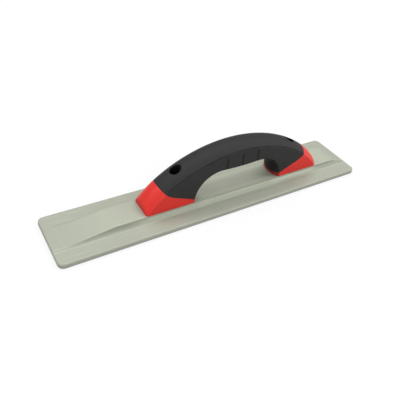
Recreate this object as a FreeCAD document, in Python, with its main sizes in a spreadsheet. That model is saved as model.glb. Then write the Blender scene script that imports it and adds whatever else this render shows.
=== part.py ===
import FreeCAD, Part

import math
import os

import Sketcher

# Magnesium hand float: a flat magnesium blade with a raised land along its middle, and a
# moulded handle screwed down on that land. The handle is a hard red core, whose two feet
# show, with a soft black grip moulded round it. Lengths are in millimetres.
#
# Frame: origin at the centre of the blade's working face, +X along the blade towards its
# toe, +Y across it, +Z up, from the working face to the hand. "Rise" is a height above the
# land that the handle stands on, and "reach" a distance along X from the handle's middle.

DIMENSIONS = {
    # blade
    "blade_length": 406.4,
    "blade_width": 79.4,
    "blade_thickness": 6.35,
    "blade_corner_radius": 7.0,
    "top_rim_radius": 1.8,
    "bottom_rim_radius": 1.4,
    "land_width": 33.0,
    "land_height": 6.35,
    "cove_radius": 3.8,
    "heel_ramp_inner": 135.0,
    "heel_ramp_outer": 194.0,
    "heel_ramp_radius": 750.0,
    "toe_ramp_inner": 178.4,
    "toe_ramp_outer": 201.2,
    # handle
    "handle_offset": 26.8,
    "handle_length": 246.0,
    "handle_width": 32.4,
    "handle_rise": 62.8,
    "crown_radius": 174.5,
    "crown_reach": 100.0,
    "end_radius": 130.0,
    "end_angle": 56.0,
    "dome_radius": 21.0,
    "dome_corner_radius": 1.2,
    "finger_gap": 113.0,
    "arch_radius": 30.0,
    "belly_rise": 29.3,
    "belly_radius": 320.0,
    "bulge_radius": 27.0,
    "bulge_corner_radius": 2.5,
    "bow_wall": 5.0,
    "plan_corner_radius": 3.0,
    "skirt": 20.0,
    # soft grip
    "grip_skin": 3.2,
    "spine_edge_radius": 7.0,
    "collar_shift": -1.6,
    "collar_rise": 3.0,
    "collar_slope_reach": 87.0,
    "collar_slope_rise": 16.0,
    "collar_end_reach": 109.2,
    "collar_end_rise": 39.0,
    "collar_end_radius": 45.0,
    "key_length": 16.0,
    "key_height": 9.0,
    "key_pitch": 32.0,
    "side_groove_drop": 7.0,
    "side_groove_radius": 1.1,
    "side_groove_inset": 0.5,
    "finger_groove_pitch": 21.4,
    "finger_groove_drop": 11.5,
    "finger_groove_width": 1.5,
    "finger_groove_depth": 0.9,
    # screws and washers
    "screw_reach": 80.9,
    "well_diameter": 13.0,
    "well_lining": 1.6,
    "seat_rise": 11.0,
    "clearance_diameter": 5.4,
    "thread_diameter": 4.83,
    "thread_height": 0.65,
    "thread_pitch": 1.058,
    "thread_clearance": 0.05,
    "screw_length": 19.05,
    "head_diameter": 9.3,
    "head_height": 2.9,
    "head_rim_height": 1.0,
    "head_crown_radius": 7.0,
    "recess_span": 5.2,
    "recess_width": 1.3,
    "recess_depth": 1.9,
    "washer_diameter": 11.1,
    "washer_bore": 5.3,
    "washer_thickness": 1.25,
}
TAPPED_TURNS = 7
FREE_TURNS = 3
ENGAGED_TURNS = 6
FINGER_GROOVES = 3
KEY_WINDOWS = 3

doc = FreeCAD.newDocument("magnesium_float")
sheet = doc.addObject("Spreadsheet::Sheet", "dims")
for row, (alias, number) in enumerate(DIMENSIONS.items(), start=1):
    sheet.set(f"A{row}", alias)
    sheet.set(f"B{row}", str(number))
    sheet.setAlias(f"B{row}", alias)
doc.recompute()


def value(expression):
    """The number that an expression over the size sheet gives."""
    return float(sheet.evalExpression(expression))


def arc_between(start, end, radius):
    """The short arc from start to end. A positive radius bulges to the right of the way."""
    chord = end - start
    sagitta = abs(radius) - math.sqrt(radius**2 - chord.Length**2 / 4)
    side = FreeCAD.Vector(chord.y, -chord.x, 0).normalize()
    middle = (start + end) / 2 + side * math.copysign(sagitta, radius)
    return Part.Arc(start, middle, end)


def bind(sketch, expression, kind, *places):
    """Adds a constraint whose size is an expression over the size sheet."""
    number = sketch.addConstraint(Sketcher.Constraint(kind, *places, value(expression)))
    sketch.setExpression(f"Constraints[{number}]", expression)


def hold(sketch, corner, *place):
    """Binds one point of the sketch to a pair of expressions."""
    for kind, expression in zip(("DistanceX", "DistanceY"), corner):
        bind(sketch, expression, kind, -1, 1, *place)


def outline(body, role, name, corners, arcs=None, shift=None, closed=True):
    """A closed outline, or an open path, on one of the body's origin planes.

    corners are pairs of expressions. arcs maps a corner's number to the radius expression
    of the arc that leaves it and the side it bulges to, 1 for right and -1 for left of the
    way; the other sides are straight. shift moves the sketch along its own x, y or z.
    """
    arcs = arcs or {}
    sketch = body.newObject("Sketcher::SketchObject", name)
    plane = next(f for f in body.Origin.OriginFeatures if f.Role == role)
    sketch.AttachmentSupport = (plane, [""])
    sketch.MapMode = "FlatFace"
    for axis, expression in (shift or {}).items():
        sketch.setExpression(f"AttachmentOffset.Base.{axis}", expression)
    places = [FreeCAD.Vector(value(x), value(y), 0) for x, y in corners]
    sides = []
    for number in range(len(places) if closed else len(places) - 1):
        start, end = places[number], places[(number + 1) % len(places)]
        if number in arcs:
            radius, bulge = arcs[number]
            side = sketch.addGeometry(arc_between(start, end, bulge * value(radius)))
            bind(sketch, radius, "Radius", side)
        else:
            side = sketch.addGeometry(Part.LineSegment(start, end))
        begins_here = sketch.getPoint(side, 1).distanceToPoint(start) < 1e-4
        sides.append((side, 1, 2) if begins_here else (side, 2, 1))
    for number, (side, first, last) in enumerate(sides):
        if closed or number > 0:
            before, _, meets = sides[number - 1]
            sketch.addConstraint(Sketcher.Constraint("Coincident", before, meets, side, first))
        hold(sketch, corners[number], side, first)
    if not closed:
        hold(sketch, corners[-1], side, last)
    return sketch


def pad(body, name, sketch, length, both_ways=True):
    """A pad of the sketch, half its length to each side of the sketch's plane."""
    feature = body.newObject("PartDesign::Pad", name)
    feature.Profile = sketch
    feature.SideType = "Symmetric" if both_ways else "One side"
    feature.setExpression("Length", length)
    doc.recompute()
    return feature


def pocket(body, name, sketch, length, both_ways=True):
    """A pocket of the sketch, which has to take some volume away."""
    before = body.Shape.Volume
    feature = body.newObject("PartDesign::Pocket", name)
    feature.Profile = sketch
    feature.SideType = "Symmetric" if both_ways else "One side"
    feature.setExpression("Length", length)
    doc.recompute()
    if body.Shape.Volume > before - 1:
        raise ValueError(f"pocket {name} cuts nothing")
    return feature


def fillet(body, name, base, radius, wanted):
    """Rounds the edges of base that the wanted test picks."""
    names = [f"Edge{n}" for n, edge in enumerate(base.Shape.Edges, 1) if wanted(edge)]
    if not names:
        raise ValueError(f"fillet {name} finds no edge")
    feature = body.newObject("PartDesign::Fillet", name)
    feature.Base = (base, names)
    feature.setExpression("Radius", radius)
    doc.recompute()
    return feature


def lies_at(edge, axis, position, tolerance=1e-3):
    """True if the whole edge lies in the plane at that position on an axis, 0, 1 or 2."""
    return all(
        abs(edge.valueAt(at)[axis] - position) < tolerance
        for at in (edge.FirstParameter, sum(edge.ParameterRange) / 2, edge.LastParameter)
    )


def stands_at_corner(edge, half_length, half_width):
    """True if the edge stands upright on a corner of a rectangle of that size."""
    at_end = any(lies_at(edge, 0, x) for x in (-half_length, half_length))
    return at_end and any(lies_at(edge, 1, y) for y in (-half_width, half_width))


def place(piece, x="0", z="0"):
    """Binds a sub-part's Placement to the size sheet."""
    piece.setExpression("Placement.Base.x", x)
    piece.setExpression("Placement.Base.z", z)


LAND_TOP = "(dims.blade_thickness + dims.land_height)"
HEEL_SCREW_X = "(dims.handle_offset - dims.screw_reach)"
TOE_SCREW_X = "(dims.handle_offset + dims.screw_reach)"


def thread_rings(turns, radius, start):
    """The zigzag side of a thread cut as rings, from start downwards, one ring a turn."""
    corners = []
    for turn in range(turns):
        corners.append((f"{radius} - dims.thread_height", f"{start} - dims.thread_pitch * {turn}"))
        corners.append((radius, f"{start} - dims.thread_pitch * {turn + 0.5}"))
    corners.append((f"{radius} - dims.thread_height", f"{start} - dims.thread_pitch * {turns}"))
    return corners


# ------------------------------------------------------------------------------- blade


def make_blade():
    """The magnesium blade: one section with its land and coves, ramps at both ends."""
    body = doc.addObject("PartDesign::Body", "blade")
    side, land = "dims.blade_width / 2", "dims.land_width / 2"
    foot, cove_top = f"({land} + dims.cove_radius)", "(dims.blade_thickness + dims.cove_radius)"
    section = outline(
        body,
        "YZ_Plane",
        "blade_section",
        [
            (f"-{side}", "0"),
            (side, "0"),
            (side, "dims.blade_thickness"),
            (foot, "dims.blade_thickness"),
            (land, cove_top),
            (land, LAND_TOP),
            (f"-{land}", LAND_TOP),
            (f"-{land}", cove_top),
            (f"-{foot}", "dims.blade_thickness"),
            (f"-{side}", "dims.blade_thickness"),
        ],
        arcs={3: ("dims.cove_radius", -1), 6: ("dims.cove_radius", -1)},
    )
    pad(body, "blade_bar", section, "dims.blade_length")
    clear = f"{LAND_TOP} + 5"
    heel_end = "-dims.blade_length / 2 - 5"
    heel = outline(
        body,
        "XZ_Plane",
        "heel_ramp_side",
        [
            (heel_end, "dims.blade_thickness"),
            ("-dims.heel_ramp_outer", "dims.blade_thickness"),
            ("-dims.heel_ramp_inner", LAND_TOP),
            ("-dims.heel_ramp_inner", clear),
            (heel_end, clear),
        ],
        arcs={1: ("dims.heel_ramp_radius", 1)},
    )
    pocket(body, "heel_ramp", heel, "2 * dims.blade_width")
    toe_end = "dims.blade_length / 2 + 5"
    toe = outline(
        body,
        "XZ_Plane",
        "toe_ramp_side",
        [
            (toe_end, "dims.blade_thickness"),
            (toe_end, clear),
            ("dims.toe_ramp_inner", clear),
            ("dims.toe_ramp_inner", LAND_TOP),
            ("dims.toe_ramp_outer", "dims.blade_thickness"),
        ],
    )
    feature = pocket(body, "toe_ramp", toe, "2 * dims.blade_width")
    long_half = value("dims.blade_length / 2")
    wide_half = value("dims.blade_width / 2")
    feature = fillet(
        body,
        "plan_corners",
        feature,
        "dims.blade_corner_radius",
        lambda e: stands_at_corner(e, long_half, wide_half),
    )

    def on_rim(edge, height):
        middle = edge.valueAt(sum(edge.ParameterRange) / 2)
        outside = abs(middle.x) > long_half - 1 or abs(middle.y) > wide_half - 1
        return outside and lies_at(edge, 2, height)

    thickness = value("dims.blade_thickness")
    feature = fillet(
        body, "top_rim", feature, "dims.top_rim_radius", lambda e: on_rim(e, thickness)
    )
    fillet(body, "bottom_rim", feature, "dims.bottom_rim_radius", lambda e: on_rim(e, 0))
    crest = "(dims.thread_diameter / 2 + dims.thread_clearance)"
    hole = outline(
        body,
        "XZ_Plane",
        "tapped_hole_side",
        [("0", f"{LAND_TOP} + 1"), (f"{crest} - dims.thread_height", f"{LAND_TOP} + 1")][::-1]
        + [("0", f"{LAND_TOP} - dims.thread_pitch * {TAPPED_TURNS}")]
        + thread_rings(TAPPED_TURNS, crest, LAND_TOP)[::-1],
        shift={"x": HEEL_SCREW_X},
    )
    before = body.Shape.Volume
    tapped = body.newObject("PartDesign::Groove", "tapped_hole")
    tapped.Profile = hole
    tapped.ReferenceAxis = (hole, ["V_Axis"])
    tapped.Angle = 360
    doc.recompute()
    if body.Shape.Volume > before - 1:
        raise ValueError("the tapped hole cuts nothing")
    pair = body.newObject("PartDesign::LinearPattern", "tapped_holes")
    pair.Originals = [tapped]
    along = next(f for f in body.Origin.OriginFeatures if f.Role == "X_Axis")
    pair.Direction = (along, [""])
    pair.setExpression("Length", "2 * dims.screw_reach")
    pair.Occurrences = 2
    body.Tip = pair
    doc.recompute()
    return body


# ------------------------------------------------------------------------------ handle


def crown_line(inset):
    """The crown's right half seen from the side, from its middle: corners and arcs."""
    crown, tip = f"(dims.crown_radius - {inset})", f"(dims.end_radius - {inset})"
    slope = "(dims.crown_reach / dims.crown_radius)"
    level = f"sqrt(1 - {slope}^2)"
    crown_centre_z = "(dims.handle_rise - dims.crown_radius)"
    tip_centre_x = f"((dims.crown_radius - dims.end_radius) * {slope})"
    tip_centre_z = f"({crown_centre_z} + (dims.crown_radius - dims.end_radius) * {level})"
    corners = [
        ("0", f"({crown_centre_z} + {crown})"),
        (f"({crown} * {slope})", f"({crown_centre_z} + {crown} * {level})"),
        (
            f"({tip_centre_x} + {tip} * sin(dims.end_angle))",
            f"({tip_centre_z} + {tip} * cos(dims.end_angle))",
        ),
    ]
    return corners, {0: (crown, -1), 1: (tip, -1)}


def arch_line(inset):
    """The belly, arch and right leg seen from the side, from the middle: corners and arcs."""
    belly, arch = f"(dims.belly_radius - {inset})", f"(dims.arch_radius + {inset})"
    gap = f"(dims.finger_gap / 2 + {inset})"
    both = "(dims.arch_radius + dims.belly_radius)"
    arch_centre_x = "(dims.finger_gap / 2 - dims.arch_radius)"
    slope = f"({arch_centre_x} / {both})"
    level = f"sqrt(1 - {slope}^2)"
    belly_centre_z = "(dims.belly_rise + dims.belly_radius)"
    corners = [
        ("0", f"({belly_centre_z} - {belly})"),
        (f"({belly} * {slope})", f"({belly_centre_z} - {belly} * {level})"),
        (gap, f"({belly_centre_z} - {both} * {level})"),
        (gap, "-dims.skirt"),
    ]
    return corners, {0: (belly, 1), 1: (arch, -1)}


def side_view(body, name, crown_inset, arch_inset):
    """The handle's whole outline seen from the side, inset at its crown and at its arch."""
    (_, crown_meet, crown_end), crown_arcs = crown_line(crown_inset)
    (_, arch_meet, leg_top, leg_end), arch_arcs = arch_line(arch_inset)
    (crown, _), (tip, _) = crown_arcs.values()
    right = [(crown_end[0], "-dims.skirt"), crown_end, crown_meet]
    under = [arch_meet, leg_top, leg_end]
    corners = right + mirrored(right)[::-1] + mirrored(under)[::-1] + under
    arcs = {1: (tip, 1), 2: (crown, 1), 3: (tip, 1)}
    arcs.update({7: arch_arcs[1], 8: arch_arcs[0], 9: arch_arcs[1]})
    return outline(body, "XZ_Plane", name, corners, arcs)


def mirrored(corners):
    """The same corners on the other side of the sketch's upright axis."""
    return [(f"-{x}", y) for x, y in corners]


def bow(half, radius, corner, top, into):
    """Corners of the bow that closes a section's straight sides, small arc, wide arc, small.

    top is the height of the bow's middle, and into the sign of the way from it inwards.
    """
    reach = f"({half} - {corner})"
    drop = f"sqrt(({radius} - {corner})^2 - {reach}^2)"
    widen = f"({radius} / ({radius} - {corner}))"
    right = [
        (half, f"({top} {into} ({radius} - {drop}))"),
        (f"({reach} * {widen})", f"({top} {into} ({radius} - {drop} * {widen}))"),
    ]
    return right + mirrored(right)[::-1]


def bow_rise(radius, corner):
    """How far a bow over the handle's full width stands out from its straight sides."""
    reach = f"(dims.handle_width / 2 - {corner})"
    return f"({radius} - sqrt(({radius} - {corner})^2 - {reach}^2))"


def sweep_bow(body, name, line, radius, corner, top, into, bulge):
    """Carries a bow along the right half of the crown's line or of the arch's."""
    half = "(dims.handle_width / 2)"
    wall = f"({bow_rise(radius, corner)} + dims.bow_wall)"
    corners = [(f"-{half}", f"({top} {into} {wall})"), (half, f"({top} {into} {wall})")]
    corners += bow(half, radius, corner, top, into)
    arcs = {2: (corner, bulge), 3: (radius, bulge), 4: (corner, bulge)}
    section = outline(body, "YZ_Plane", f"{name}_section", corners, arcs)
    places, turns = line("0")
    path = outline(body, "XZ_Plane", f"{name}_path", places, turns, closed=False)
    feature = body.newObject("PartDesign::AdditivePipe", name)
    feature.Profile = section
    feature.Spine = (path, [f"Edge{n}" for n in range(1, len(places))])
    doc.recompute()
    return feature


def make_handle_form():
    """The handle's outside: flat sides, a domed crown and a bulging belly and arch."""
    body = doc.addObject("PartDesign::Body", "handle_form")
    crown_inset, arch_inset = (
        f"({bow_rise(f'dims.{name}_radius', f'dims.{name}_corner_radius')} + dims.bow_wall / 2)"
        for name in ("dome", "bulge")
    )
    side = side_view(body, "handle_side", crown_inset, arch_inset)
    pad(body, "handle_block", side, "dims.handle_width")
    ends = [
        sweep_bow(
            body,
            "dome",
            crown_line,
            "dims.dome_radius",
            "dims.dome_corner_radius",
            "dims.handle_rise",
            "-",
            1,
        ),
        sweep_bow(
            body,
            "bulge",
            arch_line,
            "dims.bulge_radius",
            "dims.bulge_corner_radius",
            "dims.belly_rise",
            "+",
            -1,
        ),
    ]
    both = body.newObject("PartDesign::Mirrored", "both_halves")
    both.Originals = ends
    both.MirrorPlane = (next(f for f in body.Origin.OriginFeatures if f.Role == "YZ_Plane"), [""])
    body.Tip = both
    doc.recompute()
    return body


def make_spine_form():
    """The core's spine inside the grip, under an even skin, with well rounded edges."""
    body = doc.addObject("PartDesign::Body", "spine_form")
    side = side_view(body, "spine_side", "dims.grip_skin", "dims.grip_skin")
    feature = pad(body, "spine_block", side, "dims.handle_width - 2 * dims.grip_skin")
    half_width = value("dims.handle_width / 2 - dims.grip_skin")
    skirt = -value("dims.skirt")

    def beside(edge):
        on_side = any(lies_at(edge, 1, y) for y in (-half_width, half_width))
        return on_side and not lies_at(edge, 2, skirt)

    fillet(body, "spine_edges", feature, "dims.spine_edge_radius", beside)
    return body


def make_plan():
    """The block that the handle is cut to: straight ends, and a base flat on the land."""
    body = doc.addObject("PartDesign::Body", "handle_plan")
    x, y = "(dims.handle_length / 2)", "(dims.handle_width / 2)"
    corners = [(f"-{x}", f"-{y}"), (x, f"-{y}"), (x, y), (f"-{x}", y)]
    around = outline(body, "XY_Plane", "plan_outline", corners)
    block = pad(body, "plan_block", around, "2 * dims.handle_rise", both_ways=False)
    half_length, half_width = value(x), value(y)
    fillet(
        body,
        "plan_corners_rounded",
        block,
        "dims.plan_corner_radius",
        lambda e: stands_at_corner(e, half_length, half_width),
    )
    return body


def make_grip_zone():
    """The space over the two feet's collar lines, which the soft grip fills."""
    body = doc.addObject("PartDesign::Body", "grip_zone")
    right = [
        ("(dims.finger_gap / 2)", "dims.collar_rise"),
        ("dims.collar_slope_reach", "dims.collar_slope_rise"),
        ("dims.collar_end_reach", "dims.collar_end_rise"),
        ("dims.collar_end_reach", "dims.handle_rise + 10"),
    ]
    arcs = {1: ("dims.collar_end_radius", 1), 5: ("dims.collar_end_radius", 1)}
    side = outline(
        body,
        "XZ_Plane",
        "grip_zone_side",
        right + mirrored(right)[::-1],
        arcs,
        shift={"x": "dims.collar_shift"},
    )
    pad(body, "grip_zone_block", side, "2 * dims.handle_width")
    return body


def make_key_windows():
    """Windows through the core's spine, which the grip's rubber fills and locks into."""
    body = doc.addObject("PartDesign::Body", "key_windows")
    x, z = "(dims.key_length / 2)", "(dims.key_height / 2)"
    middle = "(dims.belly_rise + dims.handle_rise) / 2"
    corners = [
        (f"-{x}", f"{middle} - {z}"),
        (x, f"{middle} - {z}"),
        (x, f"{middle} + {z}"),
        (f"-{x}", f"{middle} + {z}"),
    ]
    arcs = {1: ("0.6 * dims.key_height", 1), 3: ("0.6 * dims.key_height", 1)}
    first = f"-dims.key_pitch * {(KEY_WINDOWS - 1) / 2}"
    side = outline(body, "XZ_Plane", "key_side", corners, arcs, shift={"x": first})
    window = pad(body, "key_window", side, "2 * dims.handle_width")
    repeat_along_x(body, window, "dims.key_pitch", KEY_WINDOWS)
    return body


def repeat_along_x(body, feature, pitch, count):
    """A row of a body's feature along X, which becomes the body's tip."""
    row = body.newObject("PartDesign::LinearPattern", f"{feature.Name}_row")
    row.Originals = [feature]
    row.Direction = (next(f for f in body.Origin.OriginFeatures if f.Role == "X_Axis"), [""])
    row.setExpression("Length", f"{pitch} * {count - 1}")
    row.Occurrences = count
    body.Tip = row
    doc.recompute()


def make_side_groove_cutter():
    """Round-nosed rails that follow the crown, and bite into the grip along both its sides."""
    body = doc.addObject("PartDesign::Body", "side_groove_cutter")
    nose, outside = "(dims.handle_width / 2 - dims.side_groove_inset)", "dims.handle_width"
    along, half = "(dims.crown_radius - dims.side_groove_drop)", "(0.98 * dims.side_groove_radius)"
    section = outline(
        body,
        "YZ_Plane",
        "side_groove_section",
        [
            (nose, f"{along} + {half}"),
            (nose, f"{along} - {half}"),
            (outside, f"{along} - {half}"),
            (outside, f"{along} + {half}"),
        ],
        arcs={0: ("dims.side_groove_radius", 1)},
        shift={"y": "dims.handle_rise - dims.crown_radius"},
    )
    rail = body.newObject("PartDesign::Revolution", "side_groove_rail")
    rail.Profile = section
    rail.ReferenceAxis = (section, ["H_Axis"])
    rail.Midplane = True
    rail.setExpression("Angle", "2 * asin(dims.crown_reach / dims.crown_radius)")
    doc.recompute()
    both = body.newObject("PartDesign::Mirrored", "side_groove_rails")
    both.Originals = [rail]
    both.MirrorPlane = (next(f for f in body.Origin.OriginFeatures if f.Role == "XZ_Plane"), [""])
    body.Tip = both
    doc.recompute()
    return body


def make_finger_groove_cutter():
    """U-shaped bands that cut shallow grooves down the grip's sides and under its belly."""
    body = doc.addObject("PartDesign::Body", "finger_groove_cutter")
    top = "(dims.handle_rise - dims.finger_groove_drop)"
    inner = "(dims.handle_width / 2 - dims.finger_groove_depth)"
    outside = [
        ("-dims.handle_width", top),
        ("-dims.handle_width", "dims.belly_rise - 5"),
        ("dims.handle_width", "dims.belly_rise - 5"),
        ("dims.handle_width", top),
    ]
    radius, corner = "dims.bulge_radius", "dims.bulge_corner_radius"
    bottom = "(dims.belly_rise + 2 * dims.finger_groove_depth)"
    inside = [(inner, top), *bow(inner, radius, corner, bottom, "+"), (f"-{inner}", top)]
    arcs = {5: (corner, 1), 6: (radius, 1), 7: (corner, 1)}
    first = f"-dims.finger_groove_pitch * {(FINGER_GROOVES - 1) / 2}"
    section = outline(
        body, "YZ_Plane", "finger_groove_section", outside + inside, arcs, shift={"z": first}
    )
    groove = pad(body, "finger_groove", section, "dims.finger_groove_width")
    repeat_along_x(body, groove, "dims.finger_groove_pitch", FINGER_GROOVES)
    return body


def make_bores(name, diameter, low, high):
    """A pair of upright bores, one on each screw's axis."""
    pair = []
    for end, side in (("heel", "-"), ("toe", "")):
        bore = doc.addObject("Part::Cylinder", f"{end}_{name}")
        bore.setExpression("Radius", f"{diameter} / 2")
        bore.setExpression("Height", f"{high} - ({low})")
        place(bore, f"{side}dims.screw_reach", low)
        pair.append(bore)
    return boolean("Part::MultiFuse", f"{name}s", *pair)


def boolean(kind, name, *shapes):
    """A cut of the first shape by the second, or a fuse or common of all of them."""
    result = doc.addObject(kind, name)
    if kind == "Part::Cut":
        result.Base, result.Tool = shapes
    else:
        result.Shapes = list(shapes)
    result.Refine = True
    doc.recompute()
    return result


def make_handle():
    """The red core and the soft black grip moulded round it, which lines its screw wells."""
    plan = make_plan()
    form = boolean("Part::MultiCommon", "handle_outside", make_handle_form(), plan)
    spine = boolean("Part::MultiCommon", "spine", make_spine_form(), plan)
    over_crown = "dims.handle_rise + 5"
    lining = make_bores(
        "lining", "(dims.well_diameter + 2 * dims.well_lining)", "dims.seat_rise", over_crown
    )
    wells = make_bores("well", "dims.well_diameter", "dims.seat_rise", over_crown)
    holes = make_bores("hole", "dims.clearance_diameter", "-5", "dims.seat_rise + 1")
    zone = boolean("Part::MultiFuse", "grip_zone_with_wells", make_grip_zone(), lining)
    feet = boolean("Part::Cut", "feet", form, zone)
    keys = boolean("Part::MultiFuse", "spine_openings", make_key_windows(), lining)
    keyed_spine = boolean("Part::Cut", "keyed_spine", spine, keys)
    solid_core = boolean("Part::MultiFuse", "solid_core", feet, keyed_spine)
    core = boolean("Part::Cut", "handle_core", solid_core, holes)
    skin = boolean("Part::MultiCommon", "grip_outside", form, zone)
    inside = boolean(
        "Part::MultiFuse",
        "grip_inside",
        solid_core,
        wells,
        make_side_groove_cutter(),
        make_finger_groove_cutter(),
    )
    grip = boolean("Part::Cut", "soft_grip", skin, inside)
    for piece in (core, grip):
        place(piece, "dims.handle_offset", LAND_TOP)
    return [core, grip]


# ------------------------------------------------------------------ screws and washers


def make_screw(name, x):
    """A pan-head machine screw, its thread cut as rings, with a cross recess."""
    body = doc.addObject("PartDesign::Body", name)
    crest = "(dims.thread_diameter / 2)"
    under_land = "(dims.seat_rise + dims.washer_thickness)"
    thread_start = f"(dims.thread_pitch * {FREE_TURNS} - {under_land})"
    corners = [
        ("0", "dims.head_height"),
        ("0", "-dims.screw_length"),
        (f"{crest} - dims.thread_height", "-dims.screw_length"),
        *thread_rings(FREE_TURNS + ENGAGED_TURNS, crest, thread_start)[::-1],
        (crest, thread_start + " + dims.thread_height"),
        (crest, "0"),
        ("dims.head_diameter / 2", "0"),
        ("dims.head_diameter / 2", "dims.head_rim_height"),
    ]
    arcs = {len(corners) - 1: ("dims.head_crown_radius", 1)}
    side = outline(body, "XZ_Plane", f"{name}_side", corners, arcs)
    turned = body.newObject("PartDesign::Revolution", f"{name}_turned")
    turned.Profile = side
    turned.ReferenceAxis = (side, ["V_Axis"])
    turned.Angle = 360
    doc.recompute()
    arm, wing = "(dims.recess_span / 2)", "(dims.recess_width / 2)"
    quarter = [(arm, f"-{wing}"), (arm, wing), (wing, wing)]
    cross = [
        *quarter,
        (wing, arm),
        (f"-{wing}", arm),
        (f"-{wing}", wing),
        (f"-{arm}", wing),
        (f"-{arm}", f"-{wing}"),
        (f"-{wing}", f"-{wing}"),
        (f"-{wing}", f"-{arm}"),
        (wing, f"-{arm}"),
        (wing, f"-{wing}"),
    ]
    top = outline(
        body, "XY_Plane", f"{name}_recess_top", cross, shift={"z": "dims.head_height"}
    )
    pocket(body, f"{name}_recess", top, "dims.recess_depth", both_ways=False)
    place(body, x, f"{LAND_TOP} + {under_land}")
    return body


def make_washer(name, x):
    """A flat washer between the screw's head and its seat in the core."""
    rim = doc.addObject("Part::Cylinder", f"{name}_rim")
    rim.setExpression("Radius", "dims.washer_diameter / 2")
    rim.setExpression("Height", "dims.washer_thickness")
    bore = doc.addObject("Part::Cylinder", f"{name}_bore")
    bore.setExpression("Radius", "dims.washer_bore / 2")
    bore.setExpression("Height", "dims.washer_thickness")
    washer = boolean("Part::Cut", name, rim, bore)
    place(washer, x, f"{LAND_TOP} + dims.seat_rise")
    return washer


def write(pieces):
    """Checks every object of the document and writes each sub-part to its own file."""
    doc.recompute()
    for thing in doc.Objects:
        if {"Invalid", "Error"} & set(thing.State):
            raise ValueError(f"{thing.Name} is {thing.State}")
    os.makedirs("parts", exist_ok=True)
    for piece in pieces:
        piece.Label = piece.Name
        shape = piece.Shape
        if shape.isNull() or not shape.isValid() or len(shape.Solids) != 1:
            raise ValueError(f"{piece.Label} isn't one valid solid")
        shape.exportStep(f"parts/{piece.Label}.step")
        box = shape.BoundBox
        print(
            f"{piece.Label}: {shape.Volume / 1000:.2f} cm3,"
            f" X {box.XMin:.1f} to {box.XMax:.1f}, Y {box.YMin:.1f} to {box.YMax:.1f},"
            f" Z {box.ZMin:.1f} to {box.ZMax:.1f}"
        )


pieces = [make_blade(), *make_handle()]
for end, screw_x in (("heel", HEEL_SCREW_X), ("toe", TOE_SCREW_X)):
    pieces.append(make_screw(f"{end}_screw", screw_x))
    pieces.append(make_washer(f"{end}_washer", screw_x))
write(pieces)
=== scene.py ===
import math

import bpy
from mathutils import Matrix, Vector


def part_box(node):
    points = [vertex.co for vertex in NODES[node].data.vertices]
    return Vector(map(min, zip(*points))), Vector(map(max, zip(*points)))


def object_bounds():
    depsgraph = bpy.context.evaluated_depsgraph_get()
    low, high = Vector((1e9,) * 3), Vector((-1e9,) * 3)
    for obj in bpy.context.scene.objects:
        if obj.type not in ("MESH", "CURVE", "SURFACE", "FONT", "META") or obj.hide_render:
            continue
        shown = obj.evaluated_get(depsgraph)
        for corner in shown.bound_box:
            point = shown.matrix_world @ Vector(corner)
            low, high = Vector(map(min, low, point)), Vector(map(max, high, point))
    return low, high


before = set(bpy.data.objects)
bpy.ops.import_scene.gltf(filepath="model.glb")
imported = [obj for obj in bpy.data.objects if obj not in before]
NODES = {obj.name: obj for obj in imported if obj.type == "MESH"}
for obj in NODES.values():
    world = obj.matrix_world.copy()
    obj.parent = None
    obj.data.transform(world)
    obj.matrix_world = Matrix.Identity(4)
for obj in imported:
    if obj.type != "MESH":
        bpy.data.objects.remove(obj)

# A magnesium hand float on a pale table. Lengths are in metres, in the CAD's frame: +X along
# the blade to its toe, +Y across it, +Z up, with the working face on the table.

cad_low, cad_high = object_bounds()
MM = 0.001
GAP = 113 * MM  # the finger gap's length along the blade
LAND_EDGE = 16.5 * MM  # from the blade's middle line to the edges of its raised land
COVE_EDGE = 20.3 * MM  # and to the outer edges of the coves beside the land
SHARP_ANGLE = math.radians(32)  # an edge that turns by more is sharp


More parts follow.
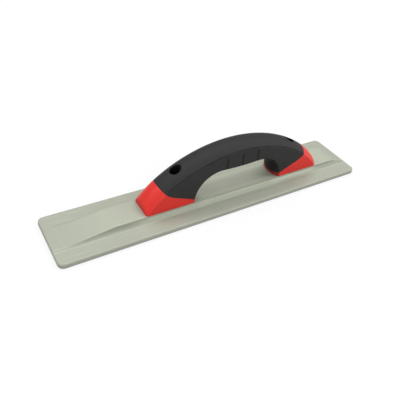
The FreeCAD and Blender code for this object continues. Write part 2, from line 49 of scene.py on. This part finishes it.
class Look:
    """A material with short ways to add the procedural nodes that its surface needs."""

    def __init__(self, name):
        self.material = bpy.data.materials.new(name)
        self.material.use_nodes = True
        self.tree = self.material.node_tree
        self.tree.nodes.clear()
        self.surface = self.add("ShaderNodeBsdfPrincipled")
        output = self.add("ShaderNodeOutputMaterial")
        self.link(self.surface.outputs["BSDF"], output.inputs["Surface"])
        self.coordinates = self.add("ShaderNodeTexCoord")
        self.place = self.coordinates.outputs["Object"]

    def add(self, kind, **settings):
        node = self.tree.nodes.new(kind)
        for name, setting in settings.items():
            setattr(node, name, setting)
        return node

    def link(self, source, target):
        self.tree.links.new(source, target)

    def fix(self, **numbers):
        """Sets sockets of the surface that hold one number or colour all over."""
        for name, number in numbers.items():
            self.surface.inputs[name.replace("_", " ")].default_value = number

    def noise(self, size, stretch=(1, 1, 1), detail=3.0, roughness=0.55, turn=0.0):
        """Noise whose features are about size metres, times stretch along each axis."""
        mapping = self.add("ShaderNodeMapping")
        mapping.inputs["Scale"].default_value = [1 / (size * s) for s in stretch]
        mapping.inputs["Rotation"].default_value = (0, 0, turn)
        self.link(self.place, mapping.inputs["Vector"])
        noise = self.add("ShaderNodeTexNoise")
        noise.inputs["Scale"].default_value = 1.0
        noise.inputs["Detail"].default_value = detail
        noise.inputs["Roughness"].default_value = roughness
        self.link(mapping.outputs["Vector"], noise.inputs["Vector"])
        return noise.outputs["Fac"]

    def cells(self, size):
        """Cells of about size metres, such as the grain of a moulded rubber."""
        mapping = self.add("ShaderNodeMapping")
        mapping.inputs["Scale"].default_value = [1 / size] * 3
        self.link(self.place, mapping.inputs["Vector"])
        cells = self.add("ShaderNodeTexVoronoi")
        cells.inputs["Scale"].default_value = 1.0
        self.link(mapping.outputs["Vector"], cells.inputs["Vector"])
        return cells.outputs["Distance"]

    def band(self, source, low, high, out_low, out_high):
        """Maps the source's range low to high onto out_low to out_high, held at the ends."""
        node = self.add("ShaderNodeMapRange")
        for name, number in zip(
            ("From Min", "From Max", "To Min", "To Max"), (low, high, out_low, out_high)
        ):
            node.inputs[name].default_value = number
        self.link(source, node.inputs["Value"])
        return node.outputs["Result"]

    def axis(self, source, name):
        """One axis of a vector, X, Y or Z."""
        split = self.add("ShaderNodeSeparateXYZ")
        self.link(source, split.inputs[0])
        return split.outputs[name]

    def rise_and_fall(self, source, rise, fall):
        """1 between two ranges of the source: it climbs from 0 over rise, and drops over fall."""
        return self.maths(
            "MULTIPLY", self.band(source, *rise, 0, 1), self.band(source, *fall, 1, 0)
        )

    def distance(self, source, middle):
        """How far the source is from middle, on either side."""
        return self.maths("ABSOLUTE", self.maths("SUBTRACT", source, middle))

    def facing(self, name, low, high):
        """0 where the surface's normal is at low along the object's axis, 1 at high."""
        return self.band(self.axis(self.coordinates.outputs["Normal"], name), low, high, 0, 1)

    def maths(self, operation, first, second=None):
        """One step of arithmetic; each term is a source or a number."""
        node = self.add("ShaderNodeMath", operation=operation)
        for socket, term in zip(node.inputs, (first, second)):
            if isinstance(term, (int, float)):
                socket.default_value = term
            elif term is not None:
                self.link(term, socket)
        return node.outputs[0]

    def sum(self, *weighted):
        """The sum of sources, each given with its weight."""
        total = 0.0
        for source, weight in weighted:
            total = self.maths("ADD", self.maths("MULTIPLY", source, weight), total)
        return total

    def mix(self, amount, first, second):
        """A colour between two, each a colour or another mix; amount is a source."""
        node = self.add("ShaderNodeMix", data_type="RGBA")
        self.link(amount, node.inputs["Factor"])
        for socket, colour in ((node.inputs[6], first), (node.inputs[7], second)):
            if isinstance(colour, tuple):
                socket.default_value = (*colour, 1.0)
            else:
                self.link(colour, socket)
        return node.outputs[2]

    def times(self, colour, factor):
        """A colour multiplied by a source."""
        node = self.add("ShaderNodeVectorMath", operation="SCALE")
        self.link(colour, node.inputs[0])
        self.link(factor, node.inputs["Scale"])
        return node.outputs[0]

    def colour(self, source):
        self.link(source, self.surface.inputs["Base Color"])

    def rough(self, source):
        self.link(source, self.surface.inputs["Roughness"])

    def bump(self, *steps):
        """Stacks bumps on the surface: each step is a source and its height in metres."""
        normal = None
        for source, height in steps:
            node = self.add("ShaderNodeBump")
            node.inputs["Distance"].default_value = height
            self.link(source, node.inputs["Height"])
            if normal is not None:
                self.link(normal, node.inputs["Normal"])
            normal = node.outputs["Normal"]
        self.link(normal, self.surface.inputs["Normal"])


# -------------------------------------------------------------------------- materials


def middle_x(node):
    low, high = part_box(node)
    return (low.x + high.x) / 2


def scaled(colour, by):
    return tuple(part * by for part in colour)


def near_cove_change(look, x, across):
    """How much the near cove's colour changes along it, as a share of the colour.

    It is painted shade beside the heel's ramp and the toe's, and painted light by the toe's foot.
    """
    in_cove = look.rise_and_fall(
        across, (-COVE_EDGE, 3 * MM - COVE_EDGE), (-LAND_EDGE, 0.2 * MM - LAND_EDGE)
    )
    at_heel = look.rise_and_fall(x, (-188 * MM, -170 * MM), (-120 * MM, -90 * MM))
    by_foot = look.rise_and_fall(x, (72 * MM, 90 * MM), (140 * MM, 155 * MM))
    at_toe = look.band(x, 145 * MM, 160 * MM, 0, 1)
    change = look.sum((at_heel, -0.29), (at_toe, -0.15), (by_foot, 0.22))
    return look.maths("MULTIPLY", in_cove, change)


def under_arch_change(look, x, across):
    """How much paler the blade is under the handle's arch, as a share of the colour.

    It is painted light, most on the land in front of the middle line, and fades out to both
    sides.
    """
    amount = look.sum(
        (look.band(across, -17.5 * MM, -12 * MM, 0.08, 0.6), 1.0),
        (look.band(across, -3 * MM, 7 * MM, 0, 0.35), -1.0),
        (look.band(across, 18 * MM, 34 * MM, 0, 0.25), -1.0),
        (look.band(across, -34 * MM, -22 * MM, 0.08, 0), -1.0),
    )
    middle = middle_x("handle_core") + 3 * MM
    along = look.distance(x, middle)
    under = look.band(along, GAP / 2 - 5 * MM, GAP / 2 + 8 * MM, 1, 0)
    return look.maths("MULTIPLY", under, amount)


def magnesium(name, shade):
    """Milled magnesium: pale grey with a green cast, drawn lines along it, light scuffs.

    The drawn lines, clouds and scuffs are the metal's own. The rest is painted light and shade,
    set by place, that stands in for light this plain studio doesn't give: the land's top is
    painted a little paler, and so are the land's near edge and the cove's, the blade under the
    handle's arch and part of the near cove, whose ends are painted darker. Faces that point down
    are painted dark, as shade.
    """
    look = Look(name)
    look.fix(Metallic=0.6, Specular_IOR_Level=0.4)
    drawn = look.noise(0.9 * MM, stretch=(160, 1, 1), detail=4)
    fine = look.noise(0.25 * MM, stretch=(60, 1, 1), detail=2)
    clouds = look.noise(28 * MM, stretch=(1.8, 1, 1), detail=5, roughness=0.6)
    grains = look.noise(0.35 * MM, detail=2)
    scuffs = look.band(look.noise(2.2 * MM, stretch=(14, 1, 1), turn=0.5), 0.62, 0.72, 0, 1)
    tone = look.sum((drawn, 0.35), (clouds, 0.45), (grains, 0.2))
    metal = look.mix(
        look.band(tone, 0.36, 0.64, 0, 1), scaled(shade, 0.93), scaled(shade, 1.07)
    )
    wear_and_painted_light = look.mix(look.band(scuffs, 0, 1, 0, 0.3), metal, scaled(shade, 1.3))
    # Painted light: the land's top is painted paler. From here this colour holds painted light as
    # well as the scuffs' wear.
    on_land = look.band(look.axis(look.place, "Z"), 7 * MM, 12.6 * MM, 0, 0.33)
    wear_and_painted_light = look.mix(on_land, wear_and_painted_light, scaled(shade, 1.25))
    x = look.axis(look.place, "X")
    across = look.axis(look.place, "Y")
    change = under_arch_change(look, x, across)
    # Painted highlights: thin paler lines along the land's near edge and the cove's outer edge.
    for line, amount in ((LAND_EDGE - 0.5 * MM, 0.13), (COVE_EDGE + 0.5 * MM, 0.16)):
        beside = look.band(look.distance(across, -line), 0.3 * MM, 0.9 * MM, amount, 0)
        change = look.maths("ADD", change, beside)
    change = look.maths("ADD", change, near_cove_change(look, x, across))
    wear_and_painted_light = look.times(wear_and_painted_light, look.maths("ADD", change, 1.0))
    # Painted shade: faces that point down are painted dark.
    dull = (0.07, 0.07, 0.066)
    look.colour(look.mix(look.facing("Z", -0.45, 0.04), dull, wear_and_painted_light))
    look.rough(
        look.sum((look.band(clouds, 0.3, 0.7, 0.65, 0.73), 1.0), (drawn, 0.06), (scuffs, -0.05))
    )
    look.bump((drawn, 0.012 * MM), (fine, 0.006 * MM), (grains, 0.006 * MM))
    return look.material


def red_plastic():
    """Hard moulded plastic in red, with a fine spark-eroded grain and faint flow marks.

    The feet's faces towards the finger gap are darker, which stands in for the shade there.
    """
    look = Look("red_moulding")
    look.fix(Specular_IOR_Level=0.24)
    flow = look.noise(16 * MM, stretch=(2.0, 1, 1), detail=4)
    grain = look.noise(0.35 * MM, detail=3)
    pits = look.cells(0.9 * MM)
    red = (0.54, 0.0222, 0.0155)
    moulded = look.mix(
        look.band(look.sum((flow, 0.7), (grain, 0.3)), 0.35, 0.65, 0, 1),
        scaled(red, 0.93),
        scaled(red, 1.07),
    )
    shaded_red = (0.26, 0.022, 0.018)
    along = look.distance(look.axis(look.place, "X"), middle_x("handle_core"))
    endways = look.maths("ABSOLUTE", look.axis(look.coordinates.outputs["Normal"], "X"))
    inside = look.maths(
        "MULTIPLY",
        look.band(along, GAP / 2 + 7 * MM, GAP / 2 + 8 * MM, 1, 0),
        look.band(endways, 0.2, 0.5, 0, 1),
    )
    look.colour(look.mix(inside, moulded, shaded_red))
    look.rough(look.sum((look.band(flow, 0.3, 0.7, 0.4, 0.5), 1.0), (grain, 0.08)))
    look.bump((grain, 0.016 * MM), (pits, 0.008 * MM))
    return look.material


def soft_rubber(wells):
    """Soft-touch black rubber with a leathery grain, with painted shade underneath and in its
    wells.

    wells is the X of the heel screw's well and of the toe screw's.
    """
    look = Look("soft_touch")
    look.fix(Specular_IOR_Level=0.2)
    cells = look.cells(0.75 * MM)
    grain = look.noise(0.3 * MM, detail=3)
    mottle = look.noise(2.6 * MM, detail=3)
    patches = look.noise(22 * MM, detail=4)
    dust = look.sum((patches, 0.45), (mottle, 0.35), (grain, 0.2))
    rubber = (0.0176, 0.0176, 0.0173)
    dusty = look.mix(look.band(dust, 0.38, 0.64, 0, 1), scaled(rubber, 0.85), scaled(rubber, 1.2))
    # Painted shade: faces that point down are painted darker.
    shaded = look.mix(look.facing("Z", -0.55, -0.08), scaled(rubber, 0.2), dusty)
    middle, reach = sum(wells) / 2, (wells[1] - wells[0]) / 2
    along = look.distance(look.axis(look.place, "X"), middle)
    along = look.maths("POWER", look.maths("SUBTRACT", along, reach), 2)
    across = look.maths("POWER", look.axis(look.place, "Y"), 2)
    radius = look.maths("SQRT", look.maths("ADD", along, across))
    outside = look.band(radius, 6.6 * MM, 6.8 * MM, 0, 1)
    # Painted shade: the walls of the screw wells are painted near black.
    painted_well_shade = (0.002, 0.002, 0.002)
    look.colour(look.mix(outside, painted_well_shade, shaded))
    look.rough(
        look.sum((look.band(patches, 0.3, 0.7, 0.55, 0.64), 1.0), (grain, 0.06), (mottle, 0.06))
    )
    look.bump((mottle, 0.05 * MM), (cells, 0.03 * MM), (grain, 0.015 * MM))
    return look.material


def zinc_steel():
    """Zinc-plated steel with a little dulling."""
    look = Look("zinc_steel")
    look.fix(Metallic=1.0)
    dull = look.noise(3 * MM, detail=4)
    grain = look.noise(0.2 * MM, detail=2)
    look.colour(
        look.mix(look.band(dull, 0.35, 0.65, 0, 1), (0.30, 0.31, 0.32), (0.45, 0.46, 0.47))
    )
    look.rough(look.band(dull, 0.3, 0.7, 0.24, 0.42))
    look.bump((grain, 0.006 * MM))
    return look.material


# ------------------------------------------------------------------------- the object


def dress(node, materials, edge=0.0):
    """Gives a CAD node smooth faces, and rounds its sharp edges by edge metres, if any.

    The first material covers the node, and the last one its rounded edges.
    """
    piece = NODES[node]
    piece.data.materials.clear()
    for material in materials:
        piece.data.materials.append(material)
    piece.data.shade_smooth()
    piece.data.set_sharp_from_angle(angle=SHARP_ANGLE)
    if not edge:
        return
    soften = piece.modifiers.new("edge", "BEVEL")
    soften.width = edge
    soften.segments = 2
    soften.limit_method = "ANGLE"
    soften.angle_limit = SHARP_ANGLE
    soften.use_clamp_overlap = True
    soften.harden_normals = True
    soften.material = len(materials) - 1


MAGNESIUM = (0.324, 0.339, 0.281)
blade_metal = magnesium("milled", MAGNESIUM)
# The rounded edges are paler: partly edge wear, partly a painted highlight.
edge_wear_and_highlight = magnesium("edge_wear_and_highlight", scaled(MAGNESIUM, 1.45))
dress("blade", [blade_metal, edge_wear_and_highlight], 0.35 * MM)
dress("handle_core", [red_plastic()], 0.25 * MM)
dress("soft_grip", [soft_rubber((middle_x("heel_screw"), middle_x("toe_screw")))])
steel = zinc_steel()
for end in ("heel", "toe"):
    dress(f"{end}_screw", [steel], 0.08 * MM)
    dress(f"{end}_washer", [steel], 0.08 * MM)


# ------------------------------------------------------------------- floor and studio


def make_floor():
    """A wide pale table that glows a little, just below the lowest point of the object."""
    reach = 25.0
    top = cad_low.z - 0.2 * MM
    mesh = bpy.data.meshes.new("floor")
    corners = [(-reach, -reach), (reach, -reach), (reach, reach), (-reach, reach)]
    mesh.from_pydata([(x, y, top) for x, y in corners], [], [(0, 1, 2, 3)])
    floor = bpy.data.objects.new("floor", mesh)
    bpy.context.scene.collection.objects.link(floor)
    look = Look("table_top")
    haze = look.noise(200 * MM, detail=3)
    look.colour(look.mix(haze, (0.11, 0.11, 0.11), (0.13, 0.13, 0.13)))
    look.fix(Roughness=0.9, Specular_IOR_Level=0.0)
    look.fix(Emission_Color=(1, 1, 1, 1), Emission_Strength=0.8)
    mesh.materials.append(look.material)


def make_sun(name, across, up, spread, strength):
    """A soft sun, spread degrees wide, across degrees round from +X and up degrees high."""
    data = bpy.data.lights.new(name, "SUN")
    data.angle = math.radians(spread)
    data.energy = strength
    sun = bpy.data.objects.new(name, data)
    across, up = math.radians(across), math.radians(up)
    flat = math.cos(up)
    towards = Vector((flat * math.cos(across), flat * math.sin(across), math.sin(up)))
    sun.rotation_mode = "QUATERNION"
    sun.rotation_quaternion = (-towards).to_track_quat("-Z", "Y")
    bpy.context.scene.collection.objects.link(sun)


def make_world(horizon, zenith):
    """A white sky, as bright as horizon at its rim and below, and as zenith overhead."""
    world = bpy.data.worlds.new("studio")
    world.use_nodes = True
    tree = world.node_tree
    place = tree.nodes.new("ShaderNodeTexCoord")
    split = tree.nodes.new("ShaderNodeSeparateXYZ")
    grade = tree.nodes.new("ShaderNodeMapRange")
    grade.inputs["To Min"].default_value = horizon
    grade.inputs["To Max"].default_value = zenith
    background = tree.nodes["Background"]
    background.inputs["Color"].default_value = (1, 1, 1, 1)
    tree.links.new(place.outputs["Generated"], split.inputs[0])
    tree.links.new(split.outputs["Z"], grade.inputs["Value"])
    tree.links.new(grade.outputs["Result"], background.inputs["Strength"])
    bpy.context.scene.world = world


def make_camera():
    """The camera looks down on the tool from in front of its heel's near corner."""
    middle = Vector(((cad_low.x + cad_high.x) / 2, (cad_low.y + cad_high.y) / 2, cad_low.z))
    place = middle + Vector((-271.55, -377.11, 373.22)) * MM
    across, down, roll = (math.radians(angle) for angle in (34.064, 39.517, 6.057))
    flat = math.cos(down)
    forward = Vector((math.sin(across) * flat, math.cos(across) * flat, -math.sin(down)))
    level = forward.cross(Vector((0, 0, 1))).normalized()
    upright = level.cross(forward)
    turn = Matrix.Rotation(-roll, 3, forward)
    axes = Matrix((turn @ level, turn @ upright, -forward)).transposed()
    data = bpy.data.cameras.new("camera")
    data.sensor_width = 36.0
    data.lens = 43.43
    data.clip_start = 0.01
    camera = bpy.data.objects.new("camera", data)
    camera.matrix_world = Matrix.Translation(place) @ axes.to_4x4()
    bpy.context.scene.collection.objects.link(camera)
    bpy.context.scene.camera = camera


SUN_SPREAD = 50  # degrees

make_floor()
make_world(0.34, 0.0)
for name, across, up, strength in (
    ("front", -105, 25, 1.15),
    ("right", -20, 35, 1.6),
    ("upper_right", -20, 60, 0.68),
    ("left", 160, 60, 2.1),
    ("back", 70, 60, 1.2),
    ("top", 0, 89, 0.3),
):
    make_sun(name, across, up, SUN_SPREAD, strength)
make_camera()

settings = bpy.context.scene.view_settings
settings.view_transform = "Standard"
settings.look = "None"
